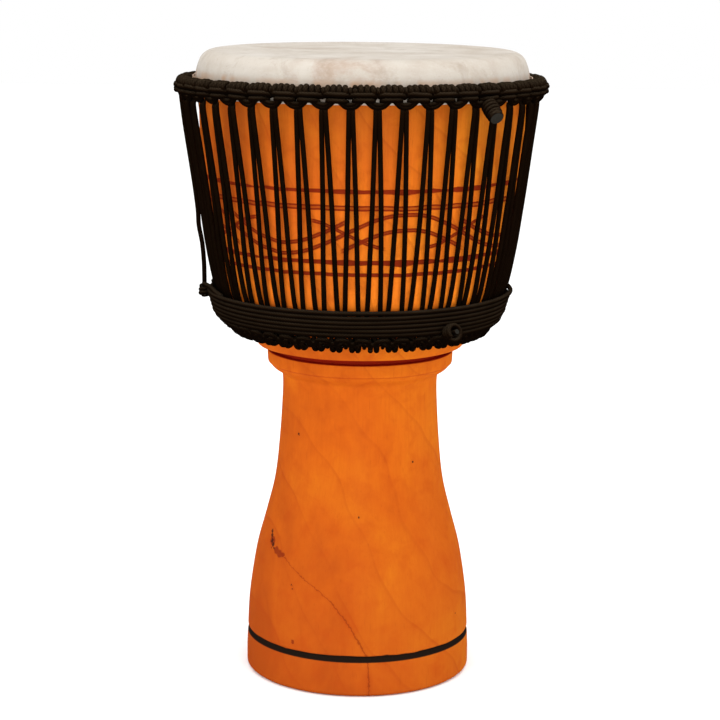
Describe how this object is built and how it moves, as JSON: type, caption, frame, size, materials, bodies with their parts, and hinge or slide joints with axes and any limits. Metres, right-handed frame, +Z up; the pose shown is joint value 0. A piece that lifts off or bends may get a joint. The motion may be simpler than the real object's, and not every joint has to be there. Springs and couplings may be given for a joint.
{
  "type": "rope-tuned djembe",
  "caption": "Goblet-shaped hand drum with a goatskin head, turned wooden shell, steel rings and a braided black rope lacing that tunes it.",
  "frame": {"origin": "centre of the foot on the floor, under the drum's axis", "axes": "+Z up along the drum's axis towards the head, -Y the front"},
  "size_m": [0.3744, 0.3744, 0.635],
  "materials": {
    "wood": "amber lacquer, glossy, over carved hardwood",
    "goatskin": "scraped rawhide, matt, mottled",
    "rope": "black braided cord, dull sheen",
    "steel": "drawn steel rod, painted black"
  },
  "bodies": {
    "drum_body": {"shell": "wood", "drumhead_skin": "goatskin", "bottom_ring": "steel", "bottom_hitches": "rope", "lacing_rope": "rope", "tail_winding": "rope", "tail_drop": "rope", "tail_knot": "rope", "bottom_end_knot": "rope"},
    "head_rings": {"flesh_hoop": "steel", "crown_ring": "steel", "crown_hitches": "rope", "crown_end_knot": "rope"}
  },
  "joints": [
    {"name": "head_tuning", "type": "slide", "parent": "drum_body", "child": "head_rings", "axis": [0, 0, -1], "range_m": [-0.003, 0.008], "deforming": ["drumhead_skin", "lacing_rope", "tail_drop"]}
  ]
}
